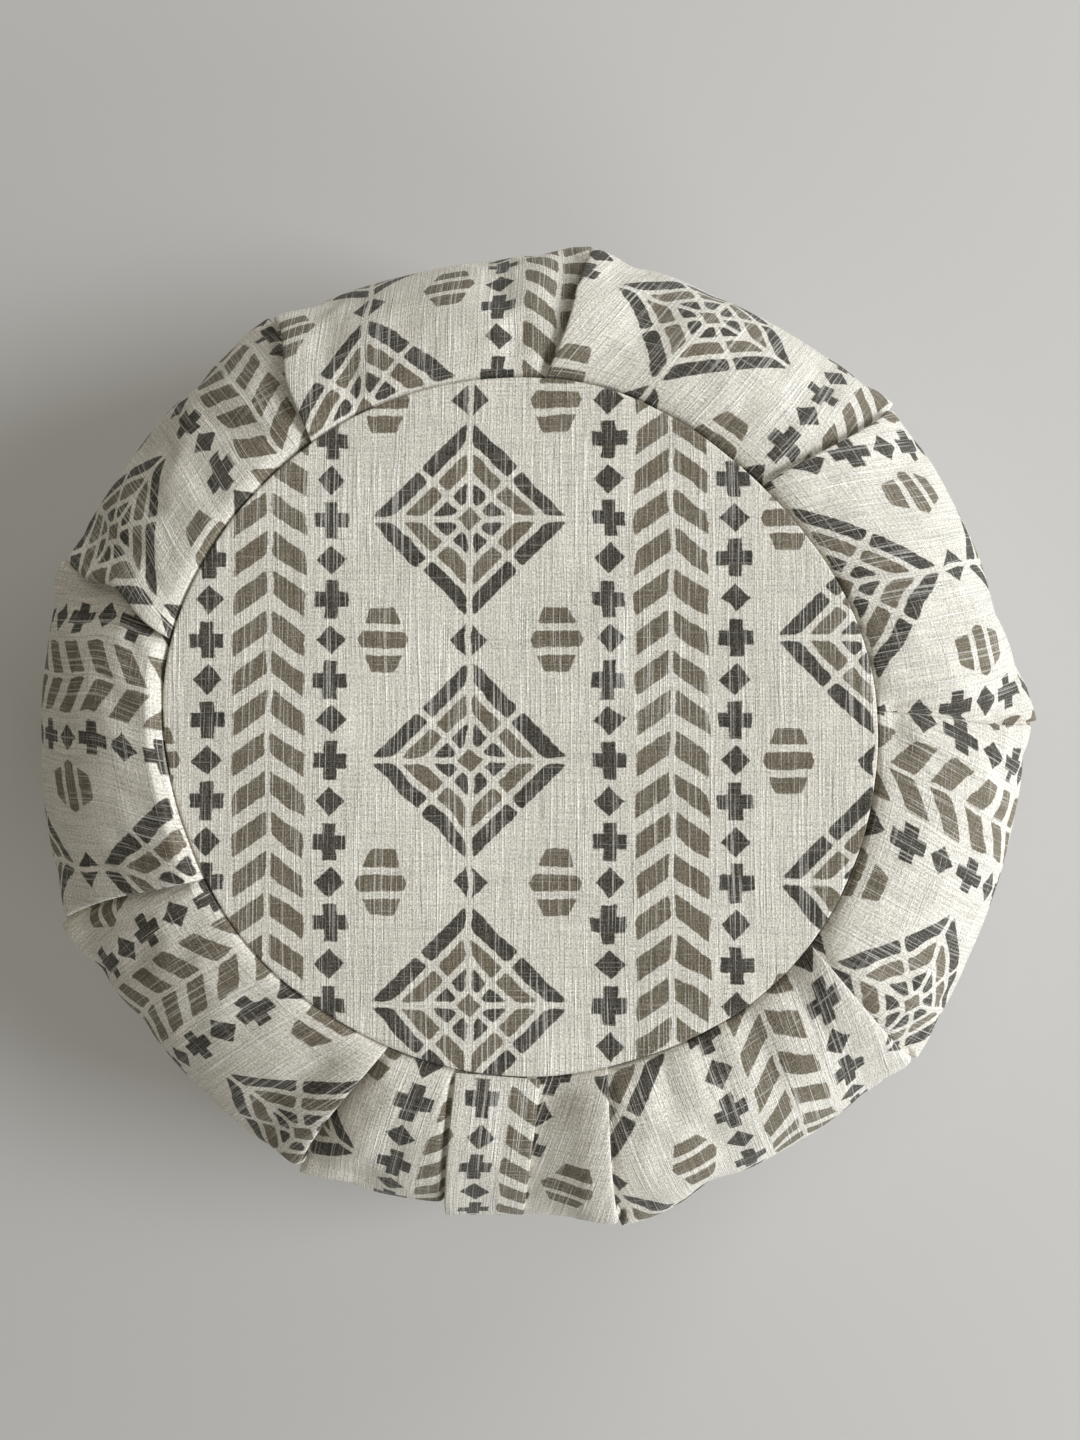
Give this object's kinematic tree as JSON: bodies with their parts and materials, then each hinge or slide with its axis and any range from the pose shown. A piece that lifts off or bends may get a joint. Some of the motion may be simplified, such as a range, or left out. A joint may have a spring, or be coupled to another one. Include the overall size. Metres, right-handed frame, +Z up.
{
  "type": "round pleated meditation cushion",
  "caption": "Round filled floor cushion with a pleated side band, two round panels and a flat carrying strap.",
  "frame": {"origin": "on the surface the cushion lies on, under the middle of its outline", "axes": "+Z up through the middle of both panels; the carrying strap is on the -Y side; +X to the right seen from above with the strap nearest"},
  "size_m": [0.3764, 0.3699, 0.113],
  "materials": {
    "printed_cotton_band": "cream slub cotton, block printed in taupe and grey, slubs running up the band",
    "printed_cotton_panel": "cream slub cotton, block printed in taupe and grey",
    "printed_cotton_strap": "cream slub cotton, folded and pressed into a flat strap"
  },
  "bodies": {
    "root": {"side_band": "printed_cotton_band", "top_panel": "printed_cotton_panel", "bottom_panel": "printed_cotton_panel", "handle": "printed_cotton_strap"}
  },
  "joints": []
}
